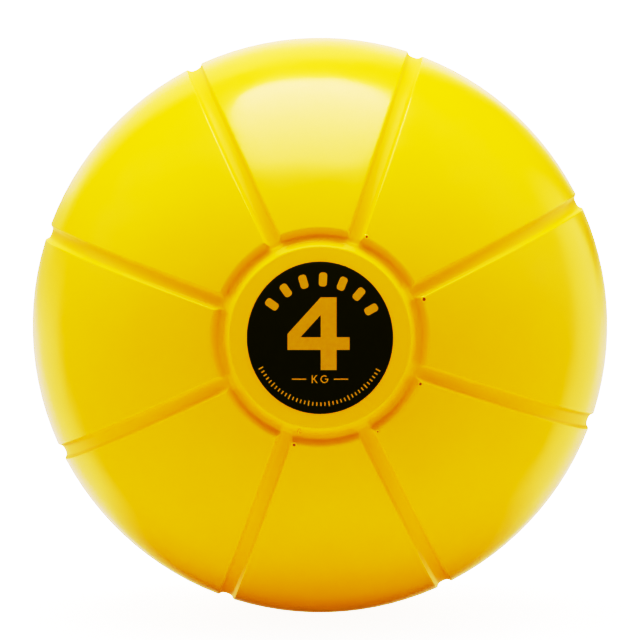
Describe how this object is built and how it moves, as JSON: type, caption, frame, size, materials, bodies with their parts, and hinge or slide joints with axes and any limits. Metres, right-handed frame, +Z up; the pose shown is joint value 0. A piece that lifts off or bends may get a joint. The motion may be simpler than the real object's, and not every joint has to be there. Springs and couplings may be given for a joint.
{
  "type": "medicine ball",
  "caption": "Round thick-walled exercise ball with finger grooves from pole to pole, a weight label on one pole and a needle inflation valve on the other.",
  "frame": {"origin": "centre of the ball, where the hands or the rack that hold it act", "axes": "+Y along the polar axis towards the inflation valve, so the weight label faces -Y; +Z is up when the label reads upright"},
  "size_m": [0.2396, 0.2364, 0.2396],
  "materials": {
    "shell_yellow": "satin",
    "label_black": "satin",
    "valve_black": "matte",
    "plug_grey": "satin"
  },
  "bodies": {
    "ball": {"shell": "shell_yellow", "weight_label": "label_black", "valve_body": "valve_black"},
    "plug": {"valve_plug": "plug_grey"}
  },
  "joints": [
    {"name": "plug_pull", "type": "slide", "parent": "ball", "child": "plug", "axis": [0, 1, 0], "range_m": [0, 0.026]}
  ]
}
